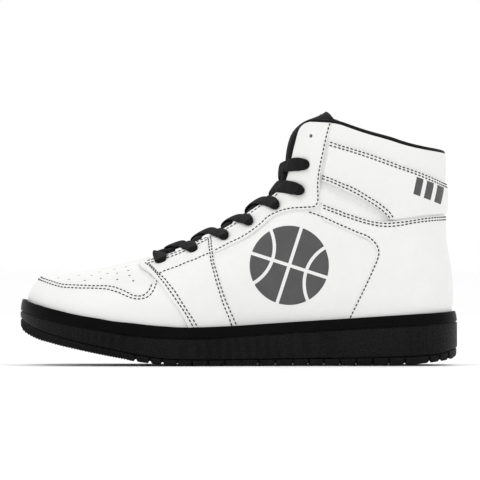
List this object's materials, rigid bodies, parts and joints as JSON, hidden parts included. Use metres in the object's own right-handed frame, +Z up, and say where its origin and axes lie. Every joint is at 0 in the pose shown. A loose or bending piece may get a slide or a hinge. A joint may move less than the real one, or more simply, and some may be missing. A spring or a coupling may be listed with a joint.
{
  "type": "basketball high top shoe",
  "caption": "Left basketball high top: leather upper with toe cap, saddle and ankle overlays, padded collar and tongue, laced front, rubber cupsole.",
  "frame": {"origin": "on the ground plane under the middle of the sole's length and width", "axes": "+X towards the heel, toe towards -X; +Y towards the inner side of the foot; +Z up"},
  "size_m": [0.3, 0.1097, 0.174],
  "materials": {
    "rubber_tread": "matt moulded rubber with grooves",
    "rubber_wall": "stippled rubber, satin band along the rim",
    "cushion_core": "closed-cell foam",
    "board": "fibre lasting board",
    "footbed": "knit-faced foam",
    "leather_base": "smooth white grain leather",
    "leather_toe": "smooth white grain leather, punched",
    "leather_overlay": "smooth white grain leather, black stitched",
    "stiffener": "moulded stiffener",
    "collar_foam": "soft foam",
    "lining_black": "black textile",
    "binding_black": "black rolled edge",
    "tongue_cloth": "black ribbed textile",
    "tongue_foam": "soft foam",
    "lace_black": "black flat woven lace"
  },
  "bodies": {
    "shoe": {"outsole_tread": "rubber_tread", "cupsole_wall": "rubber_wall", "midsole_core": "cushion_core", "lasting_board": "board", "footbed": "footbed", "vamp_toe_box": "leather_toe", "vamp_lining": "lining_black", "toe_puff": "stiffener", "toe_cap": "leather_overlay", "quarter_lateral": "leather_base", "quarter_medial": "leather_base", "ankle_collar": "leather_base", "collar_padding": "collar_foam", "quarter_lining": "lining_black", "collar_lining": "lining_black", "heel_counter": "stiffener", "heel_panel": "leather_overlay", "ankle_panel": "leather_overlay", "saddle_lateral": "leather_overlay", "saddle_medial": "leather_overlay", "eyelet_stay_lateral": "leather_overlay", "eyelet_stay_medial": "leather_overlay", "collar_binding": "binding_black", "lace_bottom_bar": "lace_black", "lace_to_lateral": "lace_black", "lace_to_medial": "lace_black"},
    "tongue": {"tongue_shell": "tongue_cloth", "tongue_padding": "tongue_foam", "tongue_lining": "lining_black"}
  },
  "joints": [
    {"name": "tongue_tilt", "type": "hinge", "parent": "shoe", "child": "tongue", "pos_m": [-0.0585, 0, 0.069], "axis": [0, 1, 0], "range_deg": [0, 8]}
  ]
}
